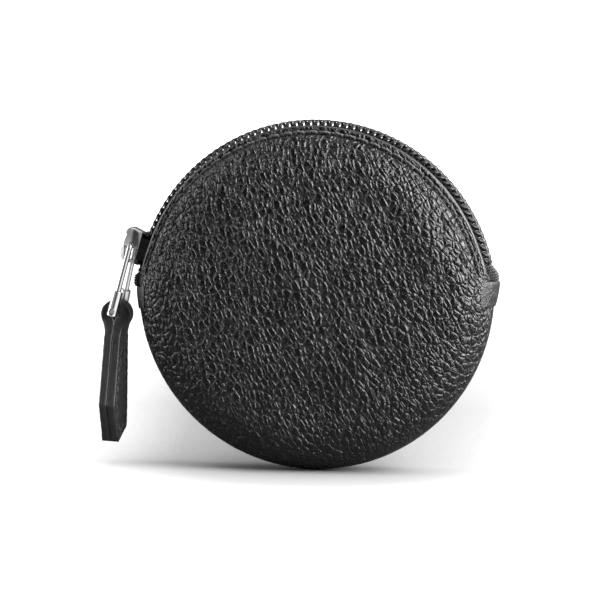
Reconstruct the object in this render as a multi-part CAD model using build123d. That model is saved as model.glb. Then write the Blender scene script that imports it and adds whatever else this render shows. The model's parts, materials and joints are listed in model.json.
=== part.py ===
from build123d import *
import math
import os

# Round zip coin purse, in millimetres. +Z is up and the front faces -Y.
# The origin is on the middle of the flat back, level with the centre of the zip's arc.
# Everything is modelled about the purse's mid-plane (y = 0) and moved to MID_Y at the end.

# --- Driving dimensions ------------------------------------------------------------------
PURSE_THICKNESS = 20.0      # front face to back face, empty and closed
PANEL_RADIUS = 44.6         # outline of each round leather panel
EDGE_ROUND = 14.0           # width of the rim that turns from the flat face to the edge
LEATHER = 1.4               # leather thickness
LOWER_CENTRE_Z = 3.0        # the lower half is a circle about a slightly higher centre
SPLIT_Z = 3.75              # level of the zip's ends, where the front lip folds open
LIP_OPEN_DEG = 25.0         # how far the front lip swings open
CUT_EDGE_HEIGHT = 4.0       # upper panel edges stop this far from the mid-plane
SEAM_ALLOWANCE = 4.5        # depth of the turned seam inside the lower edge
CLOTH = 0.5                 # lining and zip tape thickness
LINING_OFFSET = 2.15        # lining's outer face, below the leather's outer face

TOOTH_PITCH = 1.8           # of one row; the two rows interleave
TOOTH_LENGTH = 0.75         # along the zip
TOOTH_REACH = 0.9           # past the mid-plane, into the other row
TOOTH_FOOT = 2.75           # outer end of a tooth, from the mid-plane
TEETH_INNER_RADIUS = 42.7
TEETH_OUTER_RADIUS = 44.9
TEETH_START_DEG = 14.3      # position angles run from +X towards +Z
TEETH_END_DEG = 165.6

SLIDER_DEG = 163.5          # closed position, at the left end
SLIDER_LENGTH = 8.5
SLIDER_WIDTH = 7.4
SLIDER_TRAVEL_DEG = 143.0
PULL_PIVOT_RADIUS = 48.25   # centre of the wire under the bridge
LINK_WIRE_RADIUS = 0.7
LINK_REACH = 17.0           # pivot to pin
LINK_LEAN_DEG = 14.0        # outwards from straight down
LINK_TOP_HALF_WIDTH = 2.65
LINK_PIN_HALF_WIDTH = 4.4
LINK_BEND_RADIUS = 1.3
WIRE_IN_BARREL = 1.4        # depth the wire enters the barrel
BARREL_RADIUS = 1.3
BARREL_LENGTH = 6.5
BARREL_PAST_PIN = 1.3       # pin axis to the barrel's end
BARREL_EDGE = 0.35
PIN_RADIUS = 0.75
PIN_OVERHANG = 0.9          # past the barrel's axis
PIN_CHAMFER = 0.15
RUNNING_GAP = 0.02          # radial gap of a pin or wire in its hole

TAB_LENGTH = 33.0           # pin to tip
TAB_LAYER = 2.0             # one layer of the folded strap
TAB_LEAN_DEG = 3.0
LOOP_OUTER_RADIUS = 3.85
LOOP_DROP = 1.1             # loop centre below the pin
LOOP_HOLE_END = 5.0         # point of the teardrop hole below the pin
LOOP_JOIN = 6.9             # where the two layers meet, below the pin
LAYER_GAP = 0.1             # between the two layers of the strap

STITCH_RADIUS = 0.28
STITCH_PITCH = 3.2
STITCH_LENGTH = 2.5
RIM_STITCH_DEG = (6.0, 174.0)
SEAM_STITCH_DEG = (186.0, 354.0)
SEAM_STITCH_RADIUS = 40.3

# --- Derived -----------------------------------------------------------------------------
HALF_THICKNESS = PURSE_THICKNESS / 2
MID_Y = -HALF_THICKNESS
FLAT_RADIUS = PANEL_RADIUS - EDGE_ROUND
SEAM_GAP = 0.03             # half the gap between the two turned seam faces
FIT_GAP = 0.05
BIG = 120.0                 # cutting solids, larger than the purse


# --- Shared shapes -----------------------------------------------------------------------
def rim_curve(offset, height):
    """Elliptical rim of a panel, from a height above the mid-plane up to its flat face."""
    run = EDGE_ROUND - offset
    rise = HALF_THICKNESS - offset
    low = math.degrees(math.asin(height / rise))
    return EllipticalCenterArc((FLAT_RADIUS, 0), run, rise, start_angle=low, arc_size=90 - low)


def shell_section(outer, inner, height):
    """Cross-section of a thin dished layer between two offsets from the outer face."""
    top = rim_curve(outer, height)
    under = rim_curve(inner, height)
    top_centre = (0, HALF_THICKNESS - outer)
    under_centre = (0, HALF_THICKNESS - inner)
    lines = [
        Line(top_centre, top @ 1),
        Line(top @ 0, under @ 0),
        Line(under_centre, under @ 1),
        Line(top_centre, under_centre),
    ]
    return make_face(Curve() + lines + [top, under])


def dish(outer, inner, height):
    """The layer turned round the Y axis, bulging towards +Y (the back)."""
    return revolve(shell_section(outer, inner, height), Axis.Y, 360)


def side_region(points):
    """A region given by its (y, z) outline, right across the purse."""
    outline = Plane.YZ * make_face(Polyline(*points, close=True))
    return extrude(outline, BIG, both=True)


def above_split(gap=0.0):
    low = SPLIT_Z + gap
    return side_region([(-BIG, low), (BIG, low), (BIG, BIG), (-BIG, BIG)])


def below_split():
    return side_region([(-BIG, -BIG), (BIG, -BIG), (BIG, SPLIT_Z), (-BIG, SPLIT_Z)])


def below_lip_wedge():
    """Below the split, with room in front for the lip to swing down into."""
    margin_deg = 1.0
    drop = BIG * math.tan(math.radians(LIP_OPEN_DEG + margin_deg))
    low = SPLIT_Z - FIT_GAP
    return side_region([(BIG, -BIG), (BIG, low), (0, low), (-BIG, low - drop), (-BIG, -2 * BIG)])


def at_angle(shape, degrees):
    """Turn a shape built at +X to a position angle on the zip's arc."""
    return Rot(0, -degrees, 0) * shape


def arc_block(inner, outer, low_y, high_y, start, end):
    """A block that follows the zip's arc."""
    section = Pos((inner + outer) / 2, (low_y + high_y) / 2) * Rectangle(outer - inner, high_y - low_y)
    return at_angle(revolve(section, Axis((0, 0, 0), (0, -1, 0)), end - start), start)


def to_front(shape):
    return mirror(shape, about=Plane.XZ)


def group(shapes):
    solids = []
    for shape in shapes:
        solids.extend(shape.solids())
    return Compound(children=solids)


def box_between(low, high):
    sizes = [b - a for a, b in zip(low, high)]
    centre = [(a + b) / 2 for a, b in zip(low, high)]
    return Pos(*centre) * Box(*sizes)


# --- Leather panels ----------------------------------------------------------------------
def upper_panel():
    return dish(0, LEATHER, CUT_EDGE_HEIGHT)


def lower_panel():
    """Lower half with its edge turned inwards along the seam."""
    flange_inner = PANEL_RADIUS - LEATHER - SEAM_ALLOWANCE
    flange_outer = PANEL_RADIUS - LEATHER / 2
    width = flange_outer - flange_inner
    middle = (flange_inner + flange_outer) / 2
    flange = Pos(middle, SEAM_GAP + LEATHER / 2) * Rectangle(width, LEATHER)
    section = shell_section(0, LEATHER, SEAM_GAP) + flange
    return Pos(0, 0, LOWER_CENTRE_Z) * revolve(section, Axis.Y, 360)


def back_panel():
    return (upper_panel() & above_split()) + (lower_panel() & below_split())


def front_panel():
    return to_front(lower_panel()) & below_lip_wedge()


def front_panel_lip():
    return to_front(upper_panel()) & above_split()


# --- Linings -----------------------------------------------------------------------------
UPPER_LINING_HEIGHT = 4.6
LOWER_LINING_HEIGHT = 2.4


def lining(height):
    return dish(LINING_OFFSET, LINING_OFFSET + CLOTH, height)


def lower_lining():
    return Pos(0, 0, LOWER_CENTRE_Z) * lining(LOWER_LINING_HEIGHT)


def back_lining():
    return (lining(UPPER_LINING_HEIGHT) & above_split()) + (lower_lining() & below_split())


def front_lining():
    return to_front(lower_lining()) & below_lip_wedge()


def front_lining_lip():
    return to_front(lining(UPPER_LINING_HEIGHT)) & above_split()


# --- Zip ---------------------------------------------------------------------------------
TAPE_OUTER_RADIUS = TEETH_INNER_RADIUS - 0.1
TAPE_EDGE_HEIGHT = 0.8
TAPE_FLAT_HEIGHT = 3.1
TAPE_TURN_HEIGHT = 4.1
TAPE_BEND = 0.2             # the bend's inner face starts this much lower
TAPE_END_HEIGHT = 6.6
TAPE_OFFSET = LEATHER + 0.13
TAPE_START_DEG = 13.0
TAPE_END_DEG = 170.9


def zip_tape_back():
    """Tape with a flat strip under the teeth, turning in under the panel's cut edge."""
    outer = TAPE_OFFSET
    inner = TAPE_OFFSET + CLOTH
    outer_points = [
        (TAPE_OUTER_RADIUS, TAPE_EDGE_HEIGHT),
        (TAPE_OUTER_RADIUS, TAPE_FLAT_HEIGHT),
        (rim_radius(outer, TAPE_TURN_HEIGHT), TAPE_TURN_HEIGHT),
    ]
    inner_points = [
        (TAPE_OUTER_RADIUS - CLOTH, TAPE_EDGE_HEIGHT),
        (TAPE_OUTER_RADIUS - CLOTH, TAPE_FLAT_HEIGHT - TAPE_BEND),
        (rim_radius(inner, TAPE_TURN_HEIGHT), TAPE_TURN_HEIGHT),
    ]
    strip = make_face(Polyline(*outer_points, *reversed(inner_points), close=True))
    layer = shell_section(outer, inner, TAPE_TURN_HEIGHT)
    height = TAPE_END_HEIGHT - TAPE_TURN_HEIGHT
    window = Pos(PANEL_RADIUS, TAPE_TURN_HEIGHT + height / 2) * Rectangle(PANEL_RADIUS, height)
    section = strip + (layer & window)
    swept = revolve(section, Axis((0, 0, 0), (0, -1, 0)), TAPE_END_DEG - TAPE_START_DEG)
    return at_angle(swept, TAPE_START_DEG)


def rim_radius(offset, height):
    run = EDGE_ROUND - offset
    rise = HALF_THICKNESS - offset
    return FLAT_RADIUS + run * math.sqrt(1 - (height / rise) ** 2)


def tooth_row(shift):
    """One row of teeth on the back (+Y) side, each reaching past the mid-plane."""
    height = TEETH_OUTER_RADIUS - TEETH_INNER_RADIUS
    width = TOOTH_FOOT + TOOTH_REACH
    centre_y = (TOOTH_FOOT - TOOTH_REACH) / 2
    middle = (TEETH_OUTER_RADIUS + TEETH_INNER_RADIUS) / 2
    corner = 0.8
    face = Pos(middle, centre_y) * RectangleRounded(height, width, corner)
    tooth = extrude(face, TOOTH_LENGTH / 2, both=True)
    step = math.degrees(TOOTH_PITCH / middle)
    count = int((TEETH_END_DEG - TEETH_START_DEG) / step)
    return group(at_angle(tooth, TEETH_START_DEG + step * (i + shift)) for i in range(count))


STOP_RADII = (TEETH_INNER_RADIUS, TEETH_OUTER_RADIUS)
STOP_HALF_WIDTH = 2.6
TOP_STOP_INNER = 0.9        # clear of the other tape's stop
TOP_STOP_DEG = (169.7, 170.8)
BOTTOM_STOP_DEG = (12.9, 13.7)
FOLD_RADII = (TEETH_INNER_RADIUS, 46.3)
FOLD_HALF_WIDTH = 3.3
LEFT_FOLD_DEG = (171.3, 174.8)
RIGHT_FOLD_DEG = (7.9, 12.4)


def top_stops():
    """A pair of stops past the slider, one on each tape."""
    stop = arc_block(*STOP_RADII, TOP_STOP_INNER, STOP_HALF_WIDTH, *TOP_STOP_DEG)
    return group([stop, to_front(stop)])


def bottom_stop():
    return arc_block(*STOP_RADII, -STOP_HALF_WIDTH, STOP_HALF_WIDTH, *BOTTOM_STOP_DEG)


def zip_tape_ends():
    """The folded-over ends of the tapes, one lump at each end of the zip."""
    left = arc_block(*FOLD_RADII, -FOLD_HALF_WIDTH, FOLD_HALF_WIDTH, *LEFT_FOLD_DEG)
    right = arc_block(*FOLD_RADII, -FOLD_HALF_WIDTH, FOLD_HALF_WIDTH, *RIGHT_FOLD_DEG)
    return group([left, right])


EAR_RADII = (44.95, 46.5)
EAR_HALF_WIDTH = 3.9
LEFT_EAR_DEG = (175.7, 179.6)
RIGHT_EAR_DEG = (2.0, 7.5)


def ear(start, end):
    """A short leather tab over one end of the zip."""
    return arc_block(*EAR_RADII, -EAR_HALF_WIDTH, EAR_HALF_WIDTH, start, end)


# --- Slider ------------------------------------------------------------------------------
# Built at +X: X is outwards from the zip's arc, +Z is towards the zip's closed end.
PLATE_UNDER = TEETH_OUTER_RADIUS + 0.15
PLATE_TOP = 46.1
PLATE_CORNER = 1.5
PLATE_EDGE = 0.4            # rounding of the plate's top edge
FLOOR_TOP = 41.7
FLOOR_UNDER = 40.7
FLOOR_HALF_WIDTH = 3.0
FLOOR_CORNER = 1.4
FLOOR_INSET = 0.2           # floor ends this far inside the plate's ends
FLANGE_INNER = 3.05
FLANGE_LOW = TEETH_INNER_RADIUS + 0.05
FLANGE_HALF_LENGTH = SLIDER_LENGTH / 2 - 1.5
DIAMOND_START = 2.15
DIAMOND_HALF_WIDTH = 0.7
DIAMOND_CORNER = 0.4
PAWL_HALF_WIDTH = 0.4
PAWL_TIP = (-2.0, -1.2)
PAWL_CLEARANCE = 0.3
LEAF_RADII = (46.5, 46.8)
LEAF_HALF_WIDTH = 1.0
LEAF_HALF_LENGTH = 2.0
JOIN = 0.3                  # overlap that fuses the slider's own parts
CAP_TOP = 51.0
CAP_START = -4.4
CAP_END = 4.8
CAP_HALF_WIDTH = 1.8
CAP_SHELL = 0.9
CAP_CORNER = 1.8
CAP_EDGE = 0.7
CAP_START_DROP = 0.9        # the cap's crown falls this far to each end
CAP_END_DROP = 0.7
CAP_END_LEAN = 0.8          # the end wall leans in towards the plate
WALL_INNER = 1.05           # the side walls run from here out to the cap's half width
WALL_END = 0.5              # and from the cap's start to here; past this its sides are open


def slider_body():
    half_length = SLIDER_LENGTH / 2
    half_width = SLIDER_WIDTH / 2
    plate = box_between((PLATE_UNDER, -half_width, -half_length), (PLATE_TOP, half_width, half_length))
    plate = fillet(plate.edges().filter_by(Axis.X), PLATE_CORNER)
    plate = fillet(plate.faces().sort_by(Axis.X)[-1].edges(), PLATE_EDGE)
    low = (FLANGE_LOW, FLANGE_INNER, -FLANGE_HALF_LENGTH)
    flange = box_between(low, (PLATE_UNDER + JOIN, half_width, FLANGE_HALF_LENGTH))
    floor_end = half_length - FLOOR_INSET
    floor_low = (FLOOR_UNDER, -FLOOR_HALF_WIDTH, -floor_end)
    floor = box_between(floor_low, (FLOOR_TOP, FLOOR_HALF_WIDTH, floor_end))
    floor = fillet(floor.edges().filter_by(Axis.X), FLOOR_CORNER)
    diamond_low = (FLOOR_TOP - JOIN, -DIAMOND_HALF_WIDTH, DIAMOND_START)
    diamond = box_between(diamond_low, (PLATE_UNDER + JOIN, DIAMOND_HALF_WIDTH, floor_end))
    diamond = fillet(diamond.edges().filter_by(Axis.X), DIAMOND_CORNER)
    window_half = PAWL_HALF_WIDTH + PAWL_CLEARANCE
    window_low = (PLATE_UNDER - 1, -window_half, PAWL_TIP[0] - PAWL_CLEARANCE)
    window = box_between(window_low, (PLATE_TOP + 1, window_half, PAWL_TIP[1] + PAWL_CLEARANCE))
    body = plate + flange + to_front(flange) + floor + diamond - window
    return at_angle(body, SLIDER_DEG)


def cap_outline(inset):
    """Side view of the cap, in from its outer face by an inset: square shoulders with round corners."""
    foot = PLATE_TOP + 0.01
    start = CAP_START + inset
    end = CAP_END - inset
    top = CAP_TOP - inset
    points = [
        (foot, start),
        (top - CAP_START_DROP, start),
        (top, 0.0),
        (top - CAP_END_DROP, end),
        (foot, end - CAP_END_LEAN),
    ]
    upright = Plane((0, 0, 0), x_dir=(1, 0, 0), z_dir=(0, -1, 0))
    sketch = make_face(Polyline(*[(x, -z) for x, z in points], close=True))
    shoulders = sketch.vertices().sort_by(Axis.X)[-3:].sort_by(Axis.Y)
    sketch = fillet([shoulders[0], shoulders[-1]], CAP_CORNER - inset)
    return upright * sketch


def slider_bridge():
    """Cap over the plate: a shell with side walls over its rear half, bored for the pull's wire."""
    outer = extrude(cap_outline(0), CAP_HALF_WIDTH, both=True)
    rims = outer.edges().filter_by(Axis.Y, reverse=True)
    rims = [edge for edge in rims if edge.center().X > PLATE_TOP + 1.0]
    outer = fillet(rims, CAP_EDGE)
    inside = extrude(cap_outline(CAP_SHELL), BIG, both=True)
    hollow = inside & box_between((0, -WALL_INNER, CAP_START), (CAP_TOP, WALL_INNER, CAP_END))
    window = inside & box_between((0, -BIG, WALL_END), (CAP_TOP, BIG, CAP_END))
    pivot = Plane((PULL_PIVOT_RADIUS, 0, 0), z_dir=(0, 1, 0))
    wire_hole = pivot * Cylinder(LINK_WIRE_RADIUS + RUNNING_GAP, SLIDER_LENGTH)
    return at_angle(outer - hollow - window - wire_hole, SLIDER_DEG)


def lock_pawl():
    """Leaf spring under the cap with a tip that catches between the teeth."""
    leaf_low = (LEAF_RADII[0], -LEAF_HALF_WIDTH, -LEAF_HALF_LENGTH)
    leaf = box_between(leaf_low, (LEAF_RADII[1], LEAF_HALF_WIDTH, LEAF_HALF_LENGTH))
    tip_low = (PLATE_UNDER + 0.05, -PAWL_HALF_WIDTH, PAWL_TIP[0])
    tip = box_between(tip_low, (LEAF_RADII[0] + 0.1, PAWL_HALF_WIDTH, PAWL_TIP[1]))
    return at_angle(leaf + tip, SLIDER_DEG)


# --- Pull --------------------------------------------------------------------------------
# The link is built hanging straight down from its pivot, then leant outwards and placed.
def place_link(shape):
    angle = math.radians(SLIDER_DEG)
    pivot = (PULL_PIVOT_RADIUS * math.cos(angle), 0, PULL_PIVOT_RADIUS * math.sin(angle))
    return Pos(*pivot) * Rot(0, LINK_LEAN_DEG, 0) * shape


def leg_half_width(drop):
    spread = LINK_PIN_HALF_WIDTH - LINK_TOP_HALF_WIDTH
    return LINK_TOP_HALF_WIDTH + spread * drop / LINK_REACH


BARREL_START = LINK_REACH + BARREL_PAST_PIN - BARREL_LENGTH
WIRE_END = BARREL_START + WIRE_IN_BARREL
BARREL_BORE = 1.6           # depth of the hole for the wire


def link_wire():
    half = leg_half_width(WIRE_END)
    path = FilletPolyline(
        (0, -half, -WIRE_END),
        (0, -LINK_TOP_HALF_WIDTH, 0),
        (0, LINK_TOP_HALF_WIDTH, 0),
        (0, half, -WIRE_END),
        radius=LINK_BEND_RADIUS,
    )
    return sweep(Plane(origin=path @ 0, z_dir=path % 0) * Circle(LINK_WIRE_RADIUS), path=path)


def barrel():
    """Ferrule on the end of one leg, bored for the wire and cross-bored for the pin."""
    start = Vector(0, leg_half_width(BARREL_START), -BARREL_START)
    end = Vector(0, leg_half_width(BARREL_START + BARREL_LENGTH), -BARREL_START - BARREL_LENGTH)
    along = Plane(origin=start, z_dir=end - start)
    ferrule = along * extrude(Circle(BARREL_RADIUS), BARREL_LENGTH)
    ferrule = fillet(ferrule.edges().filter_by(GeomType.CIRCLE), BARREL_EDGE)
    wire_bore = along * Cylinder(LINK_WIRE_RADIUS + RUNNING_GAP, 2 * BARREL_BORE)
    pin_axis = Plane((0, 0, -LINK_REACH), z_dir=(0, 1, 0))
    pin_bore = pin_axis * extrude(Circle(PIN_RADIUS + RUNNING_GAP), PURSE_THICKNESS)
    return ferrule - wire_bore - pin_bore


def pull_barrels():
    one = barrel()
    return group([place_link(one), place_link(to_front(one))])


def pull_pin():
    half = LINK_PIN_HALF_WIDTH + PIN_OVERHANG
    pin = Plane((0, 0, -LINK_REACH), z_dir=(0, 1, 0)) * Cylinder(PIN_RADIUS, 2 * half)
    return place_link(chamfer(pin.edges(), PIN_CHAMFER))


def pin_centre():
    slider = math.radians(SLIDER_DEG)
    lean = math.radians(LINK_LEAN_DEG)
    x = PULL_PIVOT_RADIUS * math.cos(slider) - LINK_REACH * math.sin(lean)
    z = PULL_PIVOT_RADIUS * math.sin(slider) - LINK_REACH * math.cos(lean)
    return x, z


def place_tab(shape):
    x, z = pin_centre()
    return Pos(x, 0, z) * Rot(0, TAB_LEAN_DEG, 0) * shape


# Tab outline seen from the side, in (y, distance below the pin): narrow at the loop,
# wider below, with an off-centre point.
TAB_NECK = 2.75
TAB_SHOULDER = (4.15, 6.5)
TAB_FRONT_CORNER = (6.5, 23.5)
TAB_BACK_CORNER = (7.0, 29.8)
TAB_TIP_Y = -1.1


def tab_outline():
    right = [(TAB_NECK, 2.0), TAB_SHOULDER, TAB_FRONT_CORNER, TAB_BACK_CORNER]
    left = [TAB_FRONT_CORNER, TAB_SHOULDER, (TAB_NECK, 2.0)]
    points = [(-TAB_NECK, 8.0), (TAB_NECK, 8.0)]
    points += [(half, -drop) for half, drop in right]
    points += [(TAB_TIP_Y, -TAB_LENGTH)]
    points += [(-half, -drop) for half, drop in left]
    return side_region(points)


def teardrop(radius, end_half_width, end_drop):
    """A circle about the loop's centre, drawn out by tangents to a narrower end below."""
    reach = end_drop - LOOP_DROP
    span = math.hypot(reach, end_half_width)
    turn = math.acos(radius / span) - math.atan2(end_half_width, reach)
    side = math.pi / 2 - turn
    touch = (radius * math.cos(side), -LOOP_DROP - radius * math.sin(side))
    points = [touch, (end_half_width, -end_drop), (-end_half_width, -end_drop), (-touch[0], touch[1])]
    if end_half_width == 0:
        points = [touch, (0, -end_drop), (-touch[0], touch[1])]
    tail = make_face(Polyline(*points, close=True))
    return Pos(0, -LOOP_DROP) * Circle(radius) + tail


def pull_tab():
    """One strap folded round the pin, its two layers lying face to face below the loop."""
    outer = teardrop(LOOP_OUTER_RADIUS, TAB_LAYER, LOOP_JOIN)
    straight = TAB_LENGTH - LOOP_JOIN
    outer = outer + Pos(0, -LOOP_JOIN - straight / 2) * Rectangle(2 * TAB_LAYER, straight)
    hole = teardrop(LOOP_OUTER_RADIUS - TAB_LAYER, 0, LOOP_HOLE_END)
    slit_start = LOOP_HOLE_END - 0.4
    slit_length = TAB_LENGTH + 1 - slit_start
    slit = Pos(0, -slit_start - slit_length / 2) * Rectangle(LAYER_GAP, slit_length)
    profile = Plane((0, 0, 0), x_dir=(1, 0, 0), z_dir=(0, -1, 0)) * (outer - hole - slit)
    return place_tab(extrude(profile, BIG, both=True) & tab_outline())


# --- Stitching ---------------------------------------------------------------------------
def rod(start, end, radius):
    start = Vector(*start)
    end = Vector(*end)
    length = (end - start).length
    return Plane(origin=start, z_dir=end - start) * extrude(Circle(radius), length)


def stitch_row(radius, height, start, end):
    """Stitches along an arc on the back side, at a radius and a height above the mid-plane."""
    step = math.degrees(STITCH_PITCH / radius)
    count = int((end - start) / step)
    half = STITCH_LENGTH / 2
    stitch = rod((radius, height, -half), (radius, height, half), STITCH_RADIUS)
    return group(at_angle(stitch, start + step * (i + 0.5)) for i in range(count))


# The panel stitches lie on the rim where it slopes at about 45 degrees.
RIM_STITCH_PARAMETER = math.radians(34.0)
RIM_STITCH_LIFT = STITCH_RADIUS + 0.02


def back_panel_stitching():
    radius = FLAT_RADIUS + (EDGE_ROUND + RIM_STITCH_LIFT) * math.cos(RIM_STITCH_PARAMETER)
    height = (HALF_THICKNESS + RIM_STITCH_LIFT) * math.sin(RIM_STITCH_PARAMETER)
    return stitch_row(radius + FIT_GAP, height + FIT_GAP, *RIM_STITCH_DEG)


def bottom_seam_stitching():
    """Thread on both faces of the turned seam, inside the purse."""
    height = SEAM_GAP + LEATHER + RIM_STITCH_LIFT
    row = Pos(0, 0, LOWER_CENTRE_Z) * stitch_row(SEAM_STITCH_RADIUS, height, *SEAM_STITCH_DEG)
    return group([row, to_front(row)])


def tab_stitch_path():
    """Border of the tab, inset, as (y, drop) points from the front shoulder round the tip."""
    inset = 1.6
    front = TAB_FRONT_CORNER[0] - inset
    back = TAB_BACK_CORNER[0] - inset
    return [
        (-TAB_SHOULDER[0] + inset, TAB_SHOULDER[1] + inset),
        (-front, TAB_FRONT_CORNER[1] - inset / 2),
        (TAB_TIP_Y, TAB_LENGTH - 2 * inset),
        (back, TAB_BACK_CORNER[1] - inset),
        (TAB_SHOULDER[0] - inset, TAB_SHOULDER[1] + inset),
    ]


def pull_tab_stitching():
    pitch = 2.4
    length = 1.7
    x = TAB_LAYER + STITCH_RADIUS + 0.02
    path = tab_stitch_path()
    stitches = []
    for (y0, d0), (y1, d1) in zip(path, path[1:]):
        span = math.hypot(y1 - y0, d1 - d0)
        count = max(1, round(span / pitch))
        for i in range(count):
            middle = (i + 0.5) / count
            low = middle - length / 2 / span
            high = middle + length / 2 / span
            ends = [(y0 + (y1 - y0) * f, -(d0 + (d1 - d0) * f)) for f in (low, high)]
            for side in (-x, x):
                stitches.append(rod((side, *ends[0]), (side, *ends[1]), STITCH_RADIUS))
    return group(place_tab(stitch) for stitch in stitches)


# --- Nodes -------------------------------------------------------------------------------
NODES = {
    "front_panel": front_panel(),
    "front_panel_lip": front_panel_lip(),
    "back_panel": back_panel(),
    "front_lining": front_lining(),
    "front_lining_lip": front_lining_lip(),
    "back_lining": back_lining(),
    "zip_tape_front": to_front(zip_tape_back()),
    "zip_tape_back": zip_tape_back(),
    "zip_teeth_front": to_front(tooth_row(0.0)),
    "zip_teeth_back": tooth_row(0.5),
    "zip_tape_ends": zip_tape_ends(),
    "top_stops": top_stops(),
    "bottom_stop": bottom_stop(),
    "left_ear": ear(*LEFT_EAR_DEG),
    "right_ear": ear(*RIGHT_EAR_DEG),
    "front_panel_stitching": to_front(back_panel_stitching()),
    "back_panel_stitching": back_panel_stitching(),
    "bottom_seam_stitching": bottom_seam_stitching(),
    "slider_body": slider_body(),
    "slider_bridge": slider_bridge(),
    "lock_pawl": lock_pawl(),
    "pull_link_wire": place_link(link_wire()),
    "pull_barrels": pull_barrels(),
    "pull_pin": pull_pin(),
    "pull_tab": pull_tab(),
    "pull_tab_stitching": pull_tab_stitching(),
}

os.makedirs("parts", exist_ok=True)
for name, shape in NODES.items():
    export_step(Pos(0, MID_Y, 0) * shape, f"parts/{name}.step")
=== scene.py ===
"""Looks for a round black leather coin purse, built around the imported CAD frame.

Shapes are worked out in millimetres about the centre of the zip's arc: x to the right, y from the
purse's mid-plane towards its back, z up. place() turns them into metres in the frame.
"""
import json
import math

import bpy
import numpy as np
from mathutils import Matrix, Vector


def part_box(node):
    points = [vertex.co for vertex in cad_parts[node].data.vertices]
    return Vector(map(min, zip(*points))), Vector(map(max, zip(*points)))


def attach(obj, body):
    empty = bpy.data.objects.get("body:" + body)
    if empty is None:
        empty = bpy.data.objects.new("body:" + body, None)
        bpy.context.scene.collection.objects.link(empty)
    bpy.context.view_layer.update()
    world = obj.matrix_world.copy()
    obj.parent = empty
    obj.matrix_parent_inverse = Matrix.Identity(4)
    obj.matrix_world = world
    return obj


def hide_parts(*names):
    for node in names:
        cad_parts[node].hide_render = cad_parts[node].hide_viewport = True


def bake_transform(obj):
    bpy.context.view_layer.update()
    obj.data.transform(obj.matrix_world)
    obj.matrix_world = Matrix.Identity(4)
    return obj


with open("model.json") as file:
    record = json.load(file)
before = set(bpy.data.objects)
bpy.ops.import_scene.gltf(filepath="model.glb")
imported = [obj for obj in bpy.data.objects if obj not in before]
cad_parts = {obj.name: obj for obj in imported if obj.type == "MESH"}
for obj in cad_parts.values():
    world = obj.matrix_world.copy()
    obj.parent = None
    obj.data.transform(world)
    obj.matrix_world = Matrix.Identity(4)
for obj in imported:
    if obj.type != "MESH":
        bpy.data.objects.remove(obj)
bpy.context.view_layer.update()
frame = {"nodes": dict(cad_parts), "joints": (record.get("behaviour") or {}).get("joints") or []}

MM = 0.001
joints = {joint["name"]: joint for joint in frame["joints"]}


# --- Driving sizes, read from the frame ---------------------------------------------------
def node_box(*names):
    """Corners of one or more CAD nodes, in millimetres."""
    boxes = [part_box(name) for name in names]
    low = np.array([box[0] for box in boxes]).min(0) / MM
    high = np.array([box[1] for box in boxes]).max(0) / MM
    return low, high


ARC_CENTRE = np.array(joints["slider_travel"]["pos_m"]) / MM
panel_low, panel_high = node_box("back_panel")
lip_low, lip_high = node_box("front_panel_lip")
ends_low, ends_high = node_box("zip_tape_ends")
ears_high = node_box("left_ear", "right_ear")[1]
teeth_high = node_box("zip_teeth_back")[1]

HALF_THICKNESS = panel_high[1] - ARC_CENTRE[1]
PANEL_RADIUS = (panel_high[0] - panel_low[0]) / 2
LOWER_CENTRE_Z = panel_low[2] + PANEL_RADIUS
CUT_HEIGHT = ARC_CENTRE[1] - lip_high[1]
TEETH_OUTER = teeth_high[2]
FOLD_OUTER = ends_high[0]
EAR_OUTER = ears_high[0]
EDGE_ROUND = 14.0
FLAT_RADIUS = PANEL_RADIUS - EDGE_ROUND
LEATHER = 1.4
SEAM_DEPTH = 4.5
SEAM_GAP = 0.006


def place(points):
    """Millimetres about the arc's centre to metres in the frame."""
    return (np.asarray(points, float) + ARC_CENTRE) * MM


# --- Mesh helpers -------------------------------------------------------------------------
def add_object(name, data):
    """A new object in the scene."""
    item = bpy.data.objects.new(name, data)
    bpy.context.scene.collection.objects.link(item)
    return item


def make_piece(name, points, faces, materials, face_materials=None):
    """A smooth-shaded mesh object from points in millimetres."""
    mesh = bpy.data.meshes.new(name)
    mesh.from_pydata(place(points).tolist(), [], [tuple(int(i) for i in face) for face in faces])
    for material in materials:
        mesh.materials.append(material)
    if face_materials is not None:
        mesh.polygons.foreach_set("material_index", np.asarray(face_materials, np.int32))
    mesh.polygons.foreach_set("use_smooth", np.ones(len(mesh.polygons), bool))
    rest = mesh.attributes.new("rest", "FLOAT_VECTOR", "POINT")
    co = np.zeros(len(mesh.vertices) * 3, np.float32)
    mesh.vertices.foreach_get("co", co)
    rest.data.foreach_set("vector", co)
    mesh.validate()
    mesh.update()
    return add_object(name, mesh)


def apply_modifiers(piece):
    """Keeps a piece's evaluated mesh and drops its modifiers."""
    graph = bpy.context.evaluated_depsgraph_get()
    final = bpy.data.meshes.new_from_object(piece.evaluated_get(graph), depsgraph=graph)
    piece.modifiers.clear()
    old = piece.data
    piece.data = final
    bpy.data.meshes.remove(old)
    return piece


def grid_faces(rows, columns, wrap_columns=False, flip=False):
    """Quads of a grid whose points run column by column within each row."""
    column_count = columns if wrap_columns else columns - 1
    i, j = np.divmod(np.arange((rows - 1) * column_count), column_count)
    next_j = (j + 1) % columns
    here = i * columns
    beyond = here + columns
    quads = np.stack([here + j, here + next_j, beyond + next_j, beyond + j], 1)
    return quads[:, ::-1] if flip else quads


def capped_faces(rows, columns, flip=False, turn_caps=False):
    """Faces of a grid that wraps round its columns, closed by a cap at each end."""
    first = range(columns)
    last = range((rows - 1) * columns, rows * columns)
    caps = [first, reversed(last)] if flip != turn_caps else [reversed(first), last]
    return [tuple(face) for face in (*grid_faces(rows, columns, wrap_columns=True, flip=flip), *caps)]


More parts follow.
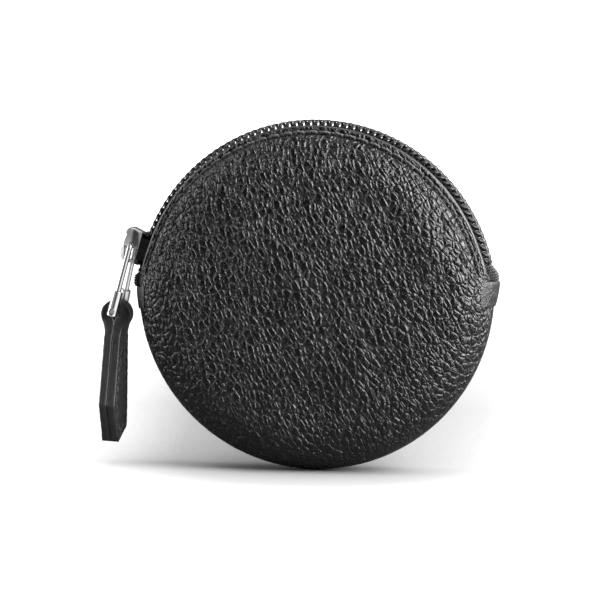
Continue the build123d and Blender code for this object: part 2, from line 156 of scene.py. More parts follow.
def border_order(rows, columns):
    """Indices of a grid's border, once round."""
    low = np.arange(columns)
    right = columns * np.arange(1, rows) + columns - 1
    top = columns * (rows - 1) + np.arange(columns - 2, -1, -1)
    left = columns * np.arange(rows - 2, 0, -1)
    return np.concatenate([low, right, top, left])


def band(ring, following, flip):
    """Quads between two rings of points."""
    quads = np.stack([ring, np.roll(ring, -1), np.roll(following, -1), following], 1)
    return quads if flip else quads[:, ::-1]


def sheet_faces(rows, columns, flip):
    """Faces of two grids of points, one over the other, joined round their border."""
    border = border_order(rows, columns)
    count = rows * columns
    outer = grid_faces(rows, columns, flip=flip)
    inner = grid_faces(rows, columns, flip=not flip) + count
    return [tuple(face) for face in np.concatenate([outer, inner, band(border, border + count, flip)])]


def unit(vectors):
    """Vectors brought to length 1."""
    return vectors / np.linalg.norm(vectors, axis=-1, keepdims=True)


def run_length(line):
    """Distance along a line at each of its points."""
    return np.concatenate([[0], np.cumsum(np.linalg.norm(np.diff(line, axis=0), axis=1))])


def resampled(line, count):
    """A flat line's points spread evenly along it, and their distances."""
    length = run_length(line)
    even = np.linspace(0, length[-1], count)
    return np.stack([np.interp(even, length, part) for part in line.T], 1), even


def smoothstep(low, high, value):
    t = np.clip((np.asarray(value, float) - low) / (high - low), 0, 1)
    return t * t * (3 - 2 * t)


def rotate_to(points, degrees):
    """Turns points about the y axis, from +X towards +Z."""
    points = np.asarray(points, float)
    angle = np.radians(degrees)
    x, z = points[..., 0], points[..., 2]
    turned = points.copy()
    turned[..., 0] = x * np.cos(angle) - z * np.sin(angle)
    turned[..., 2] = x * np.sin(angle) + z * np.cos(angle)
    return turned


def tube(path, radii, sides=8):
    """Points and faces of a round tube along a path, with flat caps."""
    path = np.asarray(path, float)
    radii = np.broadcast_to(np.asarray(radii, float), len(path))
    tangent = unit(np.gradient(path, axis=0))
    normal = unit(np.cross(tangent[0], (0.31, 0.83, 0.46)))
    turn = 2 * np.pi * np.arange(sides) / sides
    points = []
    for middle, heading, radius in zip(path, tangent, radii):
        normal = unit(normal - heading * (normal @ heading))
        ring = np.outer(np.cos(turn), normal) + np.outer(np.sin(turn), np.cross(heading, normal))
        points.append(middle + radius * ring)
    return np.concatenate(points), capped_faces(len(path), sides)


def join_parts(parts):
    """One list of points and faces from several."""
    points = []
    faces = []
    start = 0
    for part_points, part_faces in parts:
        points.append(part_points)
        faces.extend(tuple(int(i) + start for i in face) for face in part_faces)
        start += len(part_points)
    return np.concatenate(points), faces


def register(piece, slot, body, *nodes):
    """Hides the CAD nodes a piece replaces and hangs the piece on the body that carries it; pieces of the
    front lip are baked in place. slot is not used.
    """
    if nodes:
        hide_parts(*nodes)
    if body == "front_lip":
        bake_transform(piece)
    else:
        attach(piece, body)


# --- Node helpers -------------------------------------------------------------------------
def feed(tree, node, inputs):
    """Links a node's inputs to sockets, or sets them to values."""
    for key, value in inputs.items():
        if isinstance(value, bpy.types.NodeSocket):
            tree.links.new(value, node.inputs[key])
        else:
            node.inputs[key].default_value = value


def add_node(tree, kind, inputs=None, **settings):
    """A node with its settings made and its inputs fed."""
    node = tree.nodes.new(kind)
    for key, value in settings.items():
        setattr(node, key, value)
    feed(tree, node, inputs or {})
    return node


def math_node(tree, operation, a, b=0.0, clamp=False):
    return add_node(tree, "ShaderNodeMath", {0: a, 1: b}, operation=operation, use_clamp=clamp).outputs[0]


def times(tree, a, b, clamp=False):
    return math_node(tree, "MULTIPLY", a, b, clamp)


def plus(tree, a, b, clamp=False):
    return math_node(tree, "ADD", a, b, clamp)


def minus(tree, a, b):
    return math_node(tree, "SUBTRACT", a, b)


def vector_node(tree, operation, a, b):
    return add_node(tree, "ShaderNodeVectorMath", {0: a, 1: b}, operation=operation).outputs["Vector"]


def dot(tree, a, b):
    node = add_node(tree, "ShaderNodeVectorMath", {0: a, 1: b}, operation="DOT_PRODUCT")
    return node.outputs["Value"]


def scaled(tree, vector, factor):
    node = add_node(tree, "ShaderNodeVectorMath", {"Vector": vector, "Scale": factor}, operation="SCALE")
    return node.outputs["Vector"]


def noise(tree, vector, scale, detail=2.0, roughness=0.5, output="Fac"):
    inputs = {"Vector": vector, "Scale": scale, "Detail": detail, "Roughness": roughness}
    return add_node(tree, "ShaderNodeTexNoise", inputs).outputs[output]


def cells(tree, vector, along, across, lean_degrees, seed=0.0):
    """Distance to the edge of irregular cells, stretched along a direction that leans in the x-z plane."""
    lean = math.radians(lean_degrees)
    long_axis = (math.cos(lean) / (along * MM), 0.0, math.sin(lean) / (along * MM))
    short_axis = (-math.sin(lean) / (across * MM), 0.0, math.cos(lean) / (across * MM))
    depth_axis = (0.0, 1.0 / (across * MM), 0.0)
    parts = [dot(tree, vector, axis) for axis in (long_axis, short_axis, depth_axis)]
    where = add_node(tree, "ShaderNodeCombineXYZ", {"X": parts[0], "Y": parts[1], "Z": parts[2]}).outputs[0]
    moved = vector_node(tree, "ADD", where, (seed, seed * 0.7, seed * 1.3))
    inputs = {"Vector": moved, "Scale": 1.0, "Randomness": 0.95}
    return add_node(tree, "ShaderNodeTexVoronoi", inputs, feature="DISTANCE_TO_EDGE").outputs["Distance"]


def domed(tree, distance, width):
    """0 in a crease, rising to 1 on top of a rounded cell."""
    share = math_node(tree, "DIVIDE", distance, width, clamp=True)
    fall = minus(tree, 1.0, share)
    squared = times(tree, fall, fall)
    return minus(tree, 1.0, squared)


def warped(tree, vector, scale, amount):
    """The vector pushed about by noise, in metres."""
    push = noise(tree, vector, scale, output="Color")
    centred = vector_node(tree, "SUBTRACT", push, (0.5, 0.5, 0.5))
    return vector_node(tree, "ADD", vector, scaled(tree, centred, amount))


GRAIN_LEAN = -62.0


# Each layer of the grain: length and width of its cells in millimetres, lean, seed, width of the
# rounded border as a share of a cell, and share of the height.
GRAIN_LAYERS = (
    (2.15, 1.45, GRAIN_LEAN, 0.0, 0.20, 0.56),
    (8.0, 2.6, GRAIN_LEAN - 2.0, 4.3, 0.13, 0.34),
    (0.9, 0.65, GRAIN_LEAN, 9.1, 0.25, 0.10),
)


def pebble_height(tree, vector):
    """Height of the pebble grain, 0 to about 1: rounded cells crossed by longer leaning creases."""
    bent = warped(tree, vector, 330.0, 0.9 * MM)
    total = 0.0
    for along, across, lean, seed, width, share in GRAIN_LAYERS:
        layer = domed(tree, cells(tree, bent, along, across, lean, seed), width)
        total = plus(tree, total, times(tree, layer, share))
    return total


# --- Materials ----------------------------------------------------------------------------
def new_material(name):
    material = bpy.data.materials.new(name)
    material.use_nodes = True
    tree = material.node_tree
    tree.nodes.clear()
    shader = add_node(tree, "ShaderNodeBsdfPrincipled")
    output = add_node(tree, "ShaderNodeOutputMaterial")
    tree.links.new(shader.outputs["BSDF"], output.inputs["Surface"])
    return material, tree, shader


def rest_place(tree):
    return add_node(tree, "ShaderNodeAttribute", attribute_name="rest").outputs["Vector"]


def ramp(tree, factor, stops):
    """A colour ramp from (position, grey or colour) pairs."""
    node = add_node(tree, "ShaderNodeValToRGB", {"Fac": factor})
    elements = node.color_ramp.elements
    while len(elements) < len(stops):
        elements.new(0.5)
    for element, (position, colour) in zip(elements, stops):
        element.position = position
        if not isinstance(colour, tuple):
            colour = (colour, colour, colour)
        element.color = (*colour, 1.0)
    return node.outputs["Color"]


def multiplied(tree, colour, other):
    """Two colours multiplied."""
    node = add_node(tree, "ShaderNodeMix", data_type="RGBA", blend_type="MULTIPLY")
    node.inputs["Factor"].default_value = 1.0
    sockets = [socket for socket in node.inputs if socket.type == "RGBA"]
    tree.links.new(colour, sockets[0])
    tree.links.new(other, sockets[1])
    return next(socket for socket in node.outputs if socket.type == "RGBA")


def bump(tree, height, distance_mm, strength=1.0, normal=None):
    inputs = {"Height": height, "Distance": distance_mm * MM, "Strength": strength}
    if normal is not None:
        inputs["Normal"] = normal
    return add_node(tree, "ShaderNodeBump", inputs).outputs["Normal"]


def leather_material(name, pebble_mm=0.24, tone=0.30, roughness=0.24):
    """Black leather: grain bump over the modelled grain, fine wrinkles and pores; colour lighter in the
    creases and darker on raised parts, painted highlight and shade of the grain.
    """
    material, tree, shader = new_material(name)
    where = rest_place(tree)
    height = pebble_height(tree, where)
    creased = cells(tree, warped(tree, where, 900.0, 0.5 * MM), 0.75, 0.42, GRAIN_LEAN, 2.2)
    normal = bump(tree, noise(tree, where, 4200.0, 3.0, 0.6), 0.02)
    normal = bump(tree, domed(tree, creased, 0.35), 0.035, normal=normal)
    normal = bump(tree, height, pebble_mm, normal=normal)
    patches = noise(tree, where, 90.0, 3.0)
    # Lighter in the creases and darker on the cell tops: painted highlight on the crease rims and painted
    # shade on the tops.
    colour = ramp(tree, height, [(0.25, 0.045 * tone), (0.75, 0.012 * tone), (1.0, 0.005 * tone)])
    worn = ramp(tree, patches, [(0.35, 0.85), (0.7, 1.15)])
    spread_roughness = {"From Min": 0.2, "From Max": 1.0, "To Min": roughness + 0.18, "To Max": roughness}
    rough = add_node(tree, "ShaderNodeMapRange", {"Value": height, **spread_roughness})
    feed(tree, shader, {
        "Base Color": multiplied(tree, colour, worn),
        "Roughness": rough.outputs["Result"],
        "Normal": normal,
        "Specular IOR Level": 0.5,
    })
    return material


def fine_material(name, scale, detail, softness, colours, bump_mm, roughness, sheen=0.0):
    """A plain finish whose colour and relief come from one fine noise; so may its roughness."""
    material, tree, shader = new_material(name)
    grain = noise(tree, rest_place(tree), scale, detail, softness)
    if isinstance(roughness, list):
        roughness = ramp(tree, grain, roughness)
    feed(tree, shader, {
        "Base Color": ramp(tree, grain, colours),
        "Normal": bump(tree, grain, bump_mm),
        "Roughness": roughness,
        "Sheen Weight": sheen,
    })
    return material


def weave_material(name, pitch_mm, colour_low, colour_high):
    """Plain weave: two crossed sets of threads."""
    material, tree, shader = new_material(name)
    where = rest_place(tree)
    fuzz = noise(tree, where, 3000.0, 3.0)
    heights = []
    for axis in ((1, 0, 0), (0, 0, 1)):
        scaled_axis = tuple(2 * math.pi * c / (pitch_mm * MM) for c in axis)
        heights.append(math_node(tree, "SINE", dot(tree, where, scaled_axis)))
    height = plus(tree, times(tree, *heights), fuzz)
    shade = times(tree, height, 0.5, clamp=True)
    feed(tree, shader, {
        "Base Color": ramp(tree, shade, [(0.0, colour_low), (1.0, colour_high)]),
        "Normal": bump(tree, height, 0.08),
        "Roughness": 0.75,
        "Sheen Weight": 0.2,
    })
    return material


# Brightness of the reflection painted as glow on polished metal: round the studio from behind, by the left,
# the front (0.5) and the right; and from below (0) to above (1).
PAINTED_REFLECTION_ROUND = [(0.04, 0.10), (0.16, 0.70), (0.43, 0.80), (0.475, 0.12),
                  (0.545, 0.16), (0.575, 1.1), (0.74, 1.1), (0.78, 0.01)]
PAINTED_REFLECTION_UP = [(0.15, 0.75), (0.34, 1.30), (0.42, 1.0), (0.50, 0.85), (0.62, 0.60), (0.85, 0.40)]


def painted_studio_reflection(tree, normal):
    """A painted reflection for polished metal, given as glow: white walls, a dark gap in front, the black
    purse behind; occlusion darkens it in recesses as painted shade.
    """
    toward = add_node(tree, "ShaderNodeNewGeometry").outputs["Incoming"]
    facing = dot(tree, normal, toward)
    doubled = scaled(tree, normal, times(tree, facing, 2.0))
    reflected = vector_node(tree, "SUBTRACT", doubled, toward)
    rightward = dot(tree, reflected, (1.0, 0.0, 0.0))
    forward = dot(tree, reflected, (0.0, -1.0, 0.0))
    upward = dot(tree, reflected, (0.0, 0.0, 0.5))
    turn = math_node(tree, "DIVIDE", math_node(tree, "ARCTAN2", rightward, forward), 2 * math.pi)
    walls = ramp(tree, plus(tree, turn, 0.5), PAINTED_REFLECTION_ROUND)
    levels = ramp(tree, plus(tree, upward, 0.5, clamp=True), PAINTED_REFLECTION_UP)
    # Occlusion darkens the painted reflection in recesses: painted shade.
    near = add_node(tree, "ShaderNodeAmbientOcclusion", {"Distance": 2.5 * MM}, samples=8).outputs["AO"]
    painted_recess_shade = ramp(tree, near, [(0.35, 0.01), (0.80, 1.0)])
    return multiplied(tree, multiplied(tree, walls, levels), painted_recess_shade)


def domed_height(tree, size, radius):
    """Height of a shallow dome over a piece of the given size, all in metres."""
    place_in_box = add_node(tree, "ShaderNodeTexCoord").outputs["Generated"]
    share = vector_node(tree, "SUBTRACT", place_in_box, (0.5, 0.5, 0.5))
    away = vector_node(tree, "MULTIPLY", share, tuple(size))
    squared = dot(tree, away, away)
    return times(tree, squared, -0.5 / radius)


def chrome_material(name, painted_reflection_strength, tone=1.0, dome=None):
    """Polished plating over a slightly wavy casting, with faint hairline scratches; its glow is a painted
    reflection of the studio, and tone darkens its base colour.
    """
    material, tree, shader = new_material(name)
    where = add_node(tree, "ShaderNodeTexCoord").outputs["Object"]
    smears = noise(tree, where, 500.0, 4.0, 0.6)
    hairlines = vector_node(tree, "MULTIPLY", where, (900.0, 900.0, 9000.0))
    scratches = noise(tree, hairlines, 1.0, 2.0)
    waves = noise(tree, where, 420.0, 1.0)
    normal = bump(tree, scratches, 0.004, normal=bump(tree, waves, 0.05))
    if dome is not None:
        normal = bump(tree, domed_height(tree, *dome), 1 / MM, normal=normal)
    feed(tree, shader, {
        "Roughness": ramp(tree, smears, [(0.35, 0.08), (0.75, 0.18)]),
        "Normal": normal,
        "Base Color": ramp(tree, smears, [(0.3, 0.36 * tone), (0.7, 0.44 * tone)]),
        # The glow is a painted reflection of the studio.
        "Emission Color": painted_studio_reflection(tree, normal),
        "Emission Strength": painted_reflection_strength,
        "Metallic": 1.0,
    })
    return material


panel_leather = leather_material("grained_leather")
ear_leather = leather_material("smooth_leather", pebble_mm=0.07, tone=0.5, roughness=0.40)
tab_leather = leather_material("tab_leather", pebble_mm=0.12, tone=0.5, roughness=0.42)
edge_paint = fine_material("edge_paint", 1500.0, 4.0, 0.6, [(0.3, 0.018), (0.7, 0.042)], 0.06, 0.42)
flesh_side = fine_material("flesh_side", 2600.0, 5.0, 0.7, [(0.3, 0.012), (0.75, 0.035)], 0.12, 0.9)
thread = fine_material("thread", 5200.0, 2.0, 0.6, [(0.35, 0.015), (0.7, 0.065)], 0.05, 0.55, sheen=0.15)
nylon_sheen = [(0.3, 0.42), (0.7, 0.58)]
nylon = fine_material("zip_coil", 1800.0, 3.0, 0.5, [(0.3, 0.006), (0.7, 0.014)], 0.02, nylon_sheen)
lining_cloth = weave_material("lining_cloth", 0.7, 0.010, 0.030)
tape_cloth = weave_material("zip_tape", 0.9, 0.006, 0.022)
fold_cloth = weave_material("folded_zip_tape", 0.5, 0.008, 0.05)
# Every chrome glows with a painted reflection; the cap's is brighter.
chrome = chrome_material("chrome", painted_reflection_strength=0.55)
cap_low, cap_high = node_box("slider_bridge")
CAP_DOME_RADIUS = 6 * MM
cap_chrome = chrome_material("cap_chrome", painted_reflection_strength=0.72, dome=((cap_high - cap_low) * MM, CAP_DOME_RADIUS))
# The slider body's chrome, darkened in colour and glow: painted shade.
shade_painted_chrome = chrome_material("chrome_with_painted_shade", painted_reflection_strength=0.02, tone=0.10)


# --- Leather panels -----------------------------------------------------------------------
def disc_grid(count, crowd=0.0):
    """Share of the way out, and direction, of a square grid over a disc, crowded towards its edge."""
    line = np.linspace(-1, 1, count)
    line = line * (1 + crowd - crowd * line**6)
    x, z = np.meshgrid(line, line)
    x = x.ravel()
    z = z.ravel()
    wide = np.abs(x) > np.abs(z)
    safe_x = np.where(wide, x, 1)
    safe_z = np.where(wide | (z == 0), 1, z)
    angle = np.where(wide, np.pi / 4 * z / safe_x, np.pi / 2 - np.pi / 4 * x / safe_z)
    signed = np.where(wide, x, z)
    angle = np.where(signed < 0, angle + np.pi, angle)
    return np.abs(signed), angle


def centre_z(direction):
    """The outline's centre rises from the zip's arc to the lower half's circle."""
    return LOWER_CENTRE_Z * (1 - smoothstep(-0.02, 0.35, np.sin(direction)))


def edge_height(direction):
    """How far the panel's edge stands from the mid-plane: at the seam below, at the zip above."""
    level = PANEL_RADIUS * np.sin(direction)
    return SEAM_GAP + (CUT_HEIGHT - SEAM_GAP) * smoothstep(2.6, 6.0, level)


ellipse_turn = np.linspace(np.pi / 2, 0, 600)
ellipse_length = run_length(
    np.stack([EDGE_ROUND * np.cos(ellipse_turn), HALF_THICKNESS * np.sin(ellipse_turn)], 1))


def edge_length(direction):
    """Distance over the surface from the panel's middle to its edge."""
    turn = np.arcsin(edge_height(direction) / HALF_THICKNESS)
    return FLAT_RADIUS + np.interp(-turn, -ellipse_turn, ellipse_length)


def profile(distance):
    """Radius and height above the mid-plane at a distance over the surface from the middle."""
    turn = np.interp(distance - FLAT_RADIUS, ellipse_length, ellipse_turn)
    radius = np.where(distance < FLAT_RADIUS, distance, FLAT_RADIUS + EDGE_ROUND * np.cos(turn))
    return radius, HALF_THICKNESS * np.sin(turn)


def spread(radius, height, direction, back):
    """Radius, height and direction to a point; the front faces -y."""
    shift = LOWER_CENTRE_Z / 2
    blend = smoothstep(0, FLAT_RADIUS, radius)
    middle = shift + (centre_z(direction) - shift) * blend
    side = 1.0 if back else -1.0
    return np.stack([radius * np.cos(direction), side * height, middle + radius * np.sin(direction)], 1)


GROOVE_INSET = 1.95
GROOVE_HALF_WIDTH = 0.95
GROOVE_DEPTH = 0.85
SWELL_INSET = GROOVE_INSET + 2.6
SWELL_HALF_WIDTH = 1.3
SWELL_HEIGHT = 0.30
BEAD_WIDTH = 0.55
BEAD_HEIGHT = 0.14
SHOULDER_HALF_WIDTH = 8.5
SHOULDER_DROP = 0.8
SAG_SHARE = 0.0035


def ripples(x, z, wavelengths, share, rng):
    """Waves in random directions, each as high as its share of its length."""
    total = np.zeros(len(x))
    for wavelength in wavelengths:
        heading, phase = rng.uniform(0, 2 * np.pi, 2)
        along = x * np.cos(heading) + z * np.sin(heading)
        total += share * wavelength * np.sin(along * 2 * np.pi / wavelength + phase)
    return total


def surface_relief(distance, direction, seed):
    """Sag, swell and the stitch groove of a panel, in millimetres along its normal."""
    radius = profile(distance)[0]
    x = radius * np.cos(direction)
    z = radius * np.sin(direction)
    from_edge = edge_length(direction) - distance
    relief = ripples(x, z, (34.0, 26.0, 19.0, 14.0), SAG_SHARE, np.random.default_rng(seed))
    relief *= smoothstep(0.5, 9.0, from_edge)
    sewn = smoothstep(4.2, 7.5, PANEL_RADIUS * np.sin(direction))
    groove = np.exp(-(((from_edge - GROOVE_INSET) / GROOVE_HALF_WIDTH) ** 4))
    swell = np.exp(-(((from_edge - SWELL_INSET) / SWELL_HALF_WIDTH) ** 2))
    bead = np.exp(-(((from_edge - BEAD_WIDTH / 2) / 0.28) ** 2))
    shoulder = np.exp(-(((radius - FLAT_RADIUS - 1.0) / SHOULDER_HALF_WIDTH) ** 2))
    edging = SWELL_HEIGHT * swell - GROOVE_DEPTH * groove + BEAD_HEIGHT * bead
    return relief - SHOULDER_DROP * shoulder + sewn * edging


def grain_strength(distance, direction):
    """Grain fades where the leather is stretched over the edge and pressed by the stitches."""
    from_edge = edge_length(direction) - distance
    upper = smoothstep(2.0, 6.0, PANEL_RADIUS * np.sin(direction))
    seam_fade = 0.12 + 0.88 * smoothstep(0.3, 3.2, from_edge)
    zip_fade = 0.06 + 0.94 * smoothstep(GROOVE_INSET, GROOVE_INSET + 1.2, from_edge)
    return seam_fade * (1 - upper) + zip_fade * upper


def grain_group():
    """Geometry nodes that press the pebble grain into a mesh, by its 'rest' and 'grain' attributes."""
    tree = bpy.data.node_groups.new("press_grain", "GeometryNodeTree")
    tree.interface.new_socket("Geometry", in_out="INPUT", socket_type="NodeSocketGeometry")
    tree.interface.new_socket("Geometry", in_out="OUTPUT", socket_type="NodeSocketGeometry")
    source = add_node(tree, "NodeGroupInput")
    sink = add_node(tree, "NodeGroupOutput")
    rest = add_node(tree, "GeometryNodeInputNamedAttribute", {"Name": "rest"}, data_type="FLOAT_VECTOR")
    strength = add_node(tree, "GeometryNodeInputNamedAttribute", {"Name": "grain"}, data_type="FLOAT")
    height = pebble_height(tree, rest.outputs["Attribute"])
    lowered = minus(tree, height, 1.0)
    depth = times(tree, lowered, strength.outputs["Attribute"])
    normal = add_node(tree, "GeometryNodeInputNormal").outputs["Normal"]
    offset = scaled(tree, normal, depth)
    moved = add_node(tree, "GeometryNodeSetPosition", {"Geometry": source.outputs[0], "Offset": offset})
    tree.links.new(moved.outputs["Geometry"], sink.inputs[0])
    return tree


press_grain = grain_group()
PEBBLE_DEPTH = 0.30


def press_in_grain(piece, strength):
    """Presses the grain into a piece; strength is the depth in millimetres at each point."""
    grain = piece.data.attributes.new("grain", "FLOAT", "POINT")
    grain.data.foreach_set("value", np.asarray(strength, np.float32) * MM)
    modifier = piece.modifiers.new("grain", "NODES")
    modifier.node_group = press_grain
    return apply_modifiers(piece)


SEAM_FOLD = PANEL_RADIUS - LEATHER - SEAM_DEPTH
# Radius and height of the leather where it turns in at the seam, from the outside inwards.
SEAM_PATH = (
    (PANEL_RADIUS - 0.25, SEAM_GAP),
    (PANEL_RADIUS - 0.9, SEAM_GAP),
    (PANEL_RADIUS - 2.5, SEAM_GAP),
    (SEAM_FOLD, SEAM_GAP),
    (SEAM_FOLD - 0.3, LEATHER / 2),
    (SEAM_FOLD, LEATHER),
    (PANEL_RADIUS - LEATHER - 1.0, LEATHER + 0.05),
)
CUT_BULGE = 0.42


def edge_loops(direction, back):
    """Rings of points from a panel's edge round to its inner face."""
    height = edge_height(direction)
    cut_share = smoothstep(0.2, 0.8, (height - SEAM_GAP) / (CUT_HEIGHT - SEAM_GAP))
    turn = np.arcsin(height / HALF_THICKNESS)
    slope = unit(np.stack([EDGE_ROUND * np.sin(turn), -HALF_THICKNESS * np.cos(turn)], 1))
    loops = []
    for k, (seam_radius, seam_height) in enumerate(SEAM_PATH):
        round_turn = np.pi / 2 - np.pi * (k + 0.7) / (len(SEAM_PATH) - 0.3)
        offset = LEATHER / 2 * (1 - np.sin(round_turn))
        bulge = CUT_BULGE * np.cos(round_turn)
        cut_radius = FLAT_RADIUS + (EDGE_ROUND - offset) * np.cos(turn) + bulge * slope[:, 0]
        cut_height = (HALF_THICKNESS - offset) * np.sin(turn) + bulge * slope[:, 1]
        radius = seam_radius + (cut_radius - seam_radius) * cut_share
        level = seam_height + (cut_height - seam_height) * cut_share
        loops.append(spread(radius, level, direction, back))
    ceiling = HALF_THICKNESS - LEATHER
    low_turn = np.arcsin(np.clip(np.maximum(height, LEATHER + 0.1) / ceiling, 0, 1))
    for share in np.linspace(0.12, 1, 8):
        turn_here = low_turn + (np.pi / 2 - low_turn) * share
        radius = FLAT_RADIUS + (EDGE_ROUND - LEATHER) * np.cos(turn_here)
        loops.append(spread(radius, ceiling * np.sin(turn_here), direction, back))
    for share in np.linspace(0.92, 0.04, 12):
        radius = np.full_like(turn, FLAT_RADIUS * share)
        loops.append(spread(radius, np.full_like(turn, ceiling), direction, back))
    return loops


PANEL_GRID = 320


def painted_faces(faces, distance, direction):
    """Which of a panel's faces lie on the painted bead along the cut edge."""
    from_edge = (edge_length(direction) - distance)[faces].mean(1)
    level = (PANEL_RADIUS * np.sin(direction))[faces].mean(1)
    return (from_edge < BEAD_WIDTH) & (level > 4.5)


def leather_panel(name, back, seed):
    """One dished panel: dense grained face, painted or turned edge, and flesh side."""
    share, direction = disc_grid(PANEL_GRID, crowd=0.1)
    distance = share * edge_length(direction)
    radius, height = profile(distance)
    face_points = spread(radius, height, direction, back)
    side = 1.0 if back else -1.0
    turn = np.interp(distance - FLAT_RADIUS, ellipse_length, ellipse_turn)
    outward = np.cos(turn) / EDGE_ROUND
    normal = unit(np.stack([
        outward * np.cos(direction), side * np.sin(turn) / HALF_THICKNESS, outward * np.sin(direction)], 1))
    face_points += normal * surface_relief(distance, direction, seed)[:, None]
    face = grid_faces(PANEL_GRID, PANEL_GRID, flip=back)
    ring = border_order(PANEL_GRID, PANEL_GRID)
    loops = edge_loops(direction[ring], back)
    strips = []
    for k in range(len(loops)):
        following = len(face_points) + k * len(loops[0]) + np.arange(len(loops[0]))
        strips.append(band(ring, following, back))
        ring = following
    cap = ring if back else ring[::-1]
    faces = [tuple(quad) for quad in np.concatenate([face, *strips])] + [tuple(cap)]
    painted_count = len(SEAM_PATH) * len(ring)
    inner_count = (len(loops) - len(SEAM_PATH)) * len(ring) + 1
    kinds = [*painted_faces(face, distance, direction).astype(int)]
    kinds += [1] * painted_count + [2] * inner_count
    points = np.concatenate([face_points, *loops])
    piece = make_piece(name, points, faces, [panel_leather, edge_paint, flesh_side], kinds)
    strength = np.zeros(len(points))
    strength[: len(face_points)] = PEBBLE_DEPTH * grain_strength(distance, direction)
    return press_in_grain(piece, strength)


front_leather = leather_panel("front_leather", back=False, seed=3)
register(front_leather, "grained_leather", "front_lip", "front_panel", "front_panel_lip")
back_leather = leather_panel("back_leather", back=True, seed=8)
register(back_leather, "grained_leather", "pouch", "back_panel")


# --- Zip ----------------------------------------------------------------------------------
TOOTH_PITCH = 1.8
ZIP_START = 12.9
ZIP_END = 171.0
COIL_WIRE = 0.34
COIL_FOOT = 2.40
COIL_HEAD = -0.56
COIL_TOP = TEETH_OUTER - COIL_WIRE
COIL_BOTTOM = COIL_TOP - 1.50
COIL_MIDDLE = (COIL_TOP + COIL_BOTTOM) / 2
COIL_STEP = math.degrees(TOOTH_PITCH / COIL_MIDDLE)
TAPE_TOP = COIL_BOTTOM - COIL_WIRE - 0.12
TAPE_THICKNESS = 0.5
TAPE_START = 13.0
TAPE_END = 170.9
TAPE_OFFSET = 1.53
WALE_WIDTH = 0.85
COURSE_PITCH = 0.62


def coil_loop():
    """One turn of the coil: height above the mid-plane, radius, share of a pitch moved, and wire radius."""
    return [
        (2.10, COIL_BOTTOM, 0.0, COIL_WIRE),
        (0.90, COIL_BOTTOM, 0.0, COIL_WIRE),
        (-0.15, COIL_BOTTOM + 0.02, 0.0, COIL_WIRE),
        (COIL_HEAD + 0.10, COIL_BOTTOM + 0.28, 0.0, COIL_WIRE * 1.08),
        (COIL_HEAD, COIL_MIDDLE, 0.0, COIL_WIRE * 1.15),
        (COIL_HEAD + 0.10, COIL_TOP - 0.28, 0.0, COIL_WIRE * 1.08),
        (-0.15, COIL_TOP - 0.02, 0.0, COIL_WIRE),
        (0.90, COIL_TOP, 0.0, COIL_WIRE),
        (1.90, COIL_TOP - 0.02, 0.06, COIL_WIRE),
        (COIL_FOOT - 0.08, COIL_TOP - 0.36, 0.25, COIL_WIRE),
        (COIL_FOOT, COIL_MIDDLE, 0.50, COIL_WIRE),
        (COIL_FOOT - 0.08, COIL_BOTTOM + 0.36, 0.75, COIL_WIRE),
    ]


def coil_row(name, side, shift):
    """One nylon coil, wound in flat loops whose heads reach past the mid-plane."""
    turns = int((ZIP_END - ZIP_START) / COIL_STEP)
    path = []
    radii = []
    for turn in range(turns):
        for height, radius, share, wire in coil_loop():
            angle = ZIP_START + COIL_STEP * (turn + share + shift)
            path.append(rotate_to((radius, side * height, 0.0), angle))
            radii.append(wire)
    return make_piece(name, *tube(path, radii), [nylon])


def coil_thread(name, side):
    """The sewing line that holds a coil on its tape, dipping between the loops."""
    angles = np.arange(ZIP_START, ZIP_END, COIL_STEP / 6)
    wave = np.cos(2 * np.pi * (angles - ZIP_START) / COIL_STEP)
    radius = COIL_TOP + 0.20 + 0.09 * wave
    parts = []
    for height in (1.35, 1.95):
        flat = np.stack([radius, np.full_like(radius, side * height), np.zeros_like(radius)], 1)
        parts.append(tube(rotate_to(flat, angles), 0.13, sides=6))
    return make_piece(name, *join_parts(parts), [thread])


def knit(along, across):
    """Raised chevrons of the knitted tape, 0 to 1."""
    wale = 0.5 + 0.5 * np.cos(2 * np.pi * across / WALE_WIDTH)
    slant = 0.5 * np.abs(np.sin(np.pi * across / WALE_WIDTH))
    course = 0.5 + 0.5 * np.cos(2 * np.pi * (along / COURSE_PITCH + slant))
    return np.sqrt(wale) * course


def under_leather(height):
    """Radius and height of the tape's face where it lies against the inside of a panel."""
    share = height / (HALF_THICKNESS - TAPE_OFFSET)
    return FLAT_RADIUS + (EDGE_ROUND - TAPE_OFFSET) * math.sqrt(1 - share**2), height


def zip_tape(name, side):
    """Knitted tape: flat under the coil, then turned in under the leather's cut edge."""
    turned_in = [under_leather(height) for height in (4.2, 4.9, 5.7, 6.5)]
    line, across = resampled(np.array([(TAPE_TOP, 0.8), (TAPE_TOP, 3.1), *turned_in]), 34)
    tangent = unit(np.gradient(line, axis=0))
    outward = np.stack([tangent[:, 1], -tangent[:, 0]], 1)
    along = np.linspace(0, math.radians(TAPE_END - TAPE_START) * TAPE_TOP, 760)
    angles = TAPE_START + np.degrees(along / TAPE_TOP)
    relief = 0.11 * knit(along[:, None], across[None]) - 0.05
    layers = []
    for lift in (relief, np.full_like(relief, -TAPE_THICKNESS)):
        section = line[None] + outward[None] * lift[..., None]
        flat = np.stack([section[..., 0], side * section[..., 1], np.zeros_like(lift)], -1)
        layers.append(rotate_to(flat, angles[:, None]))
    rows = np.concatenate([layers[0], layers[1][:, ::-1]], 1)
    faces = capped_faces(len(along), rows.shape[1], flip=side > 0, turn_caps=True)
    return make_piece(name, rows.reshape(-1, 3), faces, [tape_cloth])


FOLD_DEPTH = 1.2
FOLD_HALF_HEIGHT = (ends_high[1] - ends_low[1]) / 2
FOLD_CORNER = 0.75
RIB_DEPTH = 0.17


